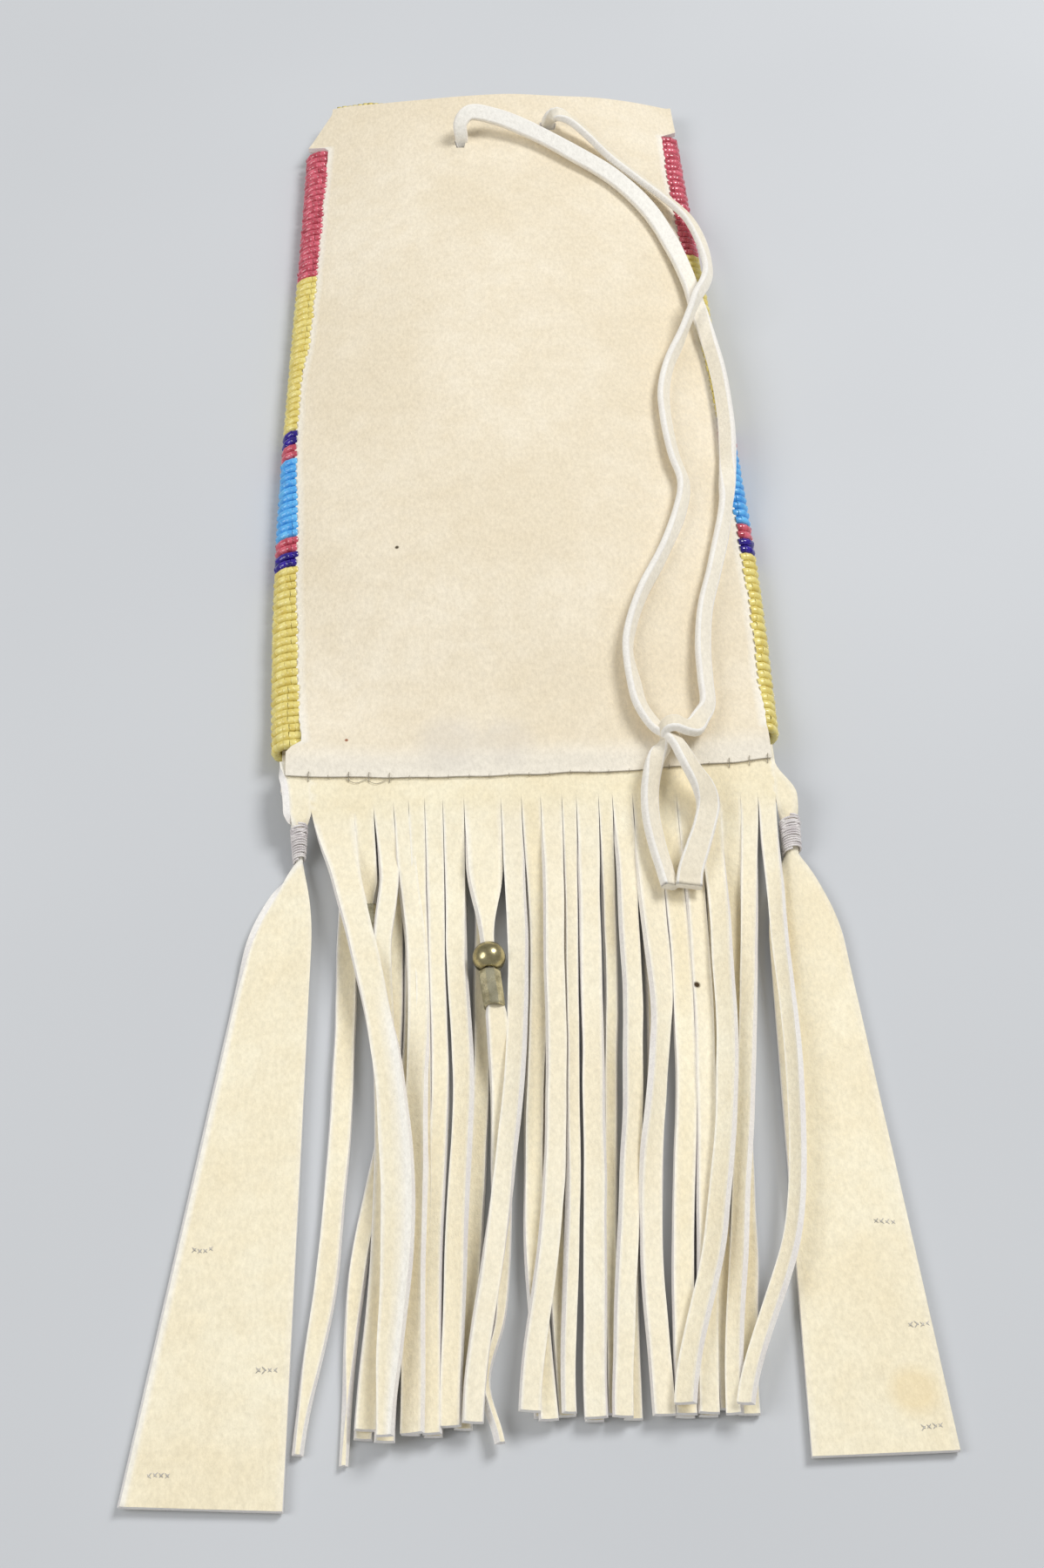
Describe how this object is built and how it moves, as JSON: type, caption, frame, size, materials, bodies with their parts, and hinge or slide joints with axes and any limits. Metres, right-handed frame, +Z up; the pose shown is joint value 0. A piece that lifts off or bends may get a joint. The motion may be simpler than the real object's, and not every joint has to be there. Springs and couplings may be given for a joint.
{
  "type": "beaded mirror bag",
  "caption": "Flat hide pouch with a beaded front and edges, a long cut fringe with a wide tab at each end, brass beads, and a lace tied through the back; it holds a small flat mirror.",
  "frame": {"origin": "on the surface the bag lies on, under the middle of the bag's box without its lace", "axes": "+Y along the bag towards its mouth, +Z up through the bag's back, +X to the right seen from the back"},
  "size_m": [0.1342, 0.3438, 0.0197],
  "materials": {
    "hide": "brain-tanned suede, cream, matte",
    "lace": "rolled suede lace, near white, matte",
    "thread": "grey waxed thread",
    "brass": "old polished brass",
    "rose_beads": "glossy rose glass",
    "yellow_beads": "greasy yellow glass",
    "navy_beads": "shiny navy glass",
    "light_blue_beads": "opaque light blue glass"
  },
  "bodies": {
    "root": {"front_panel": "hide", "back_panel": "hide", "left_edge_1_rose": "rose_beads", "left_edge_2_yellow": "yellow_beads", "left_edge_3_navy": "navy_beads", "left_edge_4_rose": "rose_beads", "left_edge_5_light_blue": "light_blue_beads", "left_edge_6_rose": "rose_beads", "left_edge_7_navy": "navy_beads", "left_edge_8_yellow": "yellow_beads", "right_edge_1_rose": "rose_beads", "right_edge_2_yellow": "yellow_beads", "right_edge_3_navy": "navy_beads", "right_edge_4_rose": "rose_beads", "right_edge_5_light_blue": "light_blue_beads", "right_edge_6_rose": "rose_beads", "right_edge_7_navy": "navy_beads", "right_edge_8_yellow": "yellow_beads", "front_1_rose": "rose_beads", "front_2_yellow": "yellow_beads", "front_3_navy": "navy_beads", "front_4_rose": "rose_beads", "front_5_light_blue": "light_blue_beads", "front_6_rose": "rose_beads", "front_7_navy": "navy_beads", "front_8_yellow": "yellow_beads", "front_lip_yellow": "yellow_beads", "upper_fringe": "hide", "lower_fringe": "hide", "bottom_seam_thread": "thread", "left_neck_wrap": "thread", "right_neck_wrap": "thread", "left_tab_stitch_1": "thread", "left_tab_stitch_2": "thread", "left_tab_stitch_3": "thread", "right_tab_stitch_1": "thread", "right_tab_stitch_2": "thread", "right_tab_stitch_3": "thread", "round_brass_bead": "brass", "middle_tube_bead": "brass", "left_tube_bead": "brass", "lace_left_run": "lace", "lace_right_run": "lace", "lace_left_tail": "lace", "lace_right_tail": "lace", "lace_knot": "lace", "lace_inside": "lace"}
  },
  "joints": []
}
